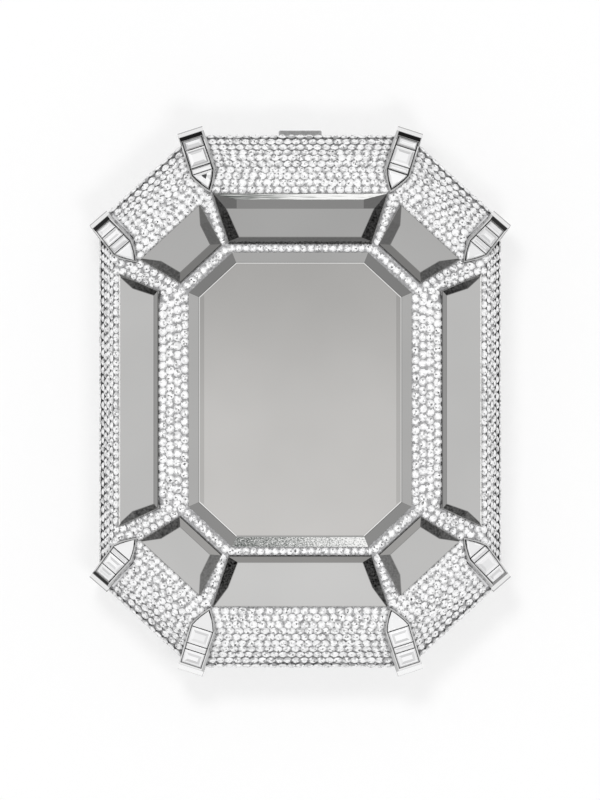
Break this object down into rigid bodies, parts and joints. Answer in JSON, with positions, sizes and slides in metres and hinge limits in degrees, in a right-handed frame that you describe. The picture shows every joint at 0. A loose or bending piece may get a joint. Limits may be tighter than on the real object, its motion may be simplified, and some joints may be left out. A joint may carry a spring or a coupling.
{
  "type": "minaudiere",
  "caption": "Hard gem-shaped evening case of two hinged shells with bevelled mirror panels, pave stones, corner claws and a sprung push clasp.",
  "frame": {"origin": "centre of the rear half's table mirror, on the surface that the case lies on", "axes": "+X across the case to the right seen from the front, +Y from the hinge wall to the clasp wall, +Z out of the front face"},
  "size_m": [0.1294, 0.1676, 0.05],
  "materials": {
    "polished_metal": "polished, silver tone",
    "plated_brass": "brass sheet plated silver tone",
    "spring_steel": "bright steel",
    "crystal": "foil-backed cut crystal",
    "mirror_glass": "bevelled grey mirror glass",
    "lining_leather": "metallic pewter leather"
  },
  "bodies": {
    "rear_half": {"rear_shell": "plated_brass", "rear_rim": "polished_metal", "rear_lining": "lining_leather", "rear_crown_pave": "crystal", "rear_band_pave": "crystal", "rear_girdle_pave": "crystal", "rear_claw_stones": "crystal", "rear_hinge_leaf": "polished_metal", "rear_hinge_screws": "polished_metal", "rear_mirror_table": "mirror_glass", "rear_mirror_end_high": "mirror_glass", "rear_mirror_end_low": "mirror_glass", "rear_mirror_side_left": "mirror_glass", "rear_mirror_side_right": "mirror_glass", "rear_mirror_corner_high_left": "mirror_glass", "rear_mirror_corner_high_right": "mirror_glass", "rear_mirror_corner_low_left": "mirror_glass", "rear_mirror_corner_low_right": "mirror_glass", "rear_claw_1": "polished_metal", "rear_claw_2": "polished_metal", "rear_claw_3": "polished_metal", "rear_claw_4": "polished_metal", "rear_claw_5": "polished_metal", "rear_claw_6": "polished_metal", "rear_claw_7": "polished_metal", "rear_claw_8": "polished_metal", "hinge_pin": "spring_steel", "latch_spring": "spring_steel", "latch_housing": "polished_metal"},
    "front_half": {"front_shell": "plated_brass", "front_rim": "polished_metal", "front_lining": "lining_leather", "front_crown_pave": "crystal", "front_band_pave": "crystal", "front_girdle_pave": "crystal", "front_claw_stones": "crystal", "front_hinge_leaf": "polished_metal", "front_hinge_screws": "polished_metal", "front_mirror_table": "mirror_glass", "front_mirror_end_high": "mirror_glass", "front_mirror_end_low": "mirror_glass", "front_mirror_side_left": "mirror_glass", "front_mirror_side_right": "mirror_glass", "front_mirror_corner_high_left": "mirror_glass", "front_mirror_corner_high_right": "mirror_glass", "front_mirror_corner_low_left": "mirror_glass", "front_mirror_corner_low_right": "mirror_glass", "front_claw_1": "polished_metal", "front_claw_2": "polished_metal", "front_claw_3": "polished_metal", "front_claw_4": "polished_metal", "front_claw_5": "polished_metal", "front_claw_6": "polished_metal", "front_claw_7": "polished_metal", "front_claw_8": "polished_metal", "keeper": "polished_metal"},
    "clasp": {"clasp_plate": "polished_metal", "latch_slide": "spring_steel"}
  },
  "joints": [
    {"name": "lid_hinge", "type": "hinge", "parent": "rear_half", "child": "front_half", "pos_m": [0, -0.0789, 0.025], "axis": [1, 0, 0], "range_deg": [0, 90]},
    {"name": "clasp_push", "type": "slide", "parent": "rear_half", "child": "clasp", "axis": [0, -1, 0], "range_m": [0, 0.0012], "stiffness_N_per_m": 600, "springref_m": -0.002, "deforming": ["latch_spring"]}
  ]
}
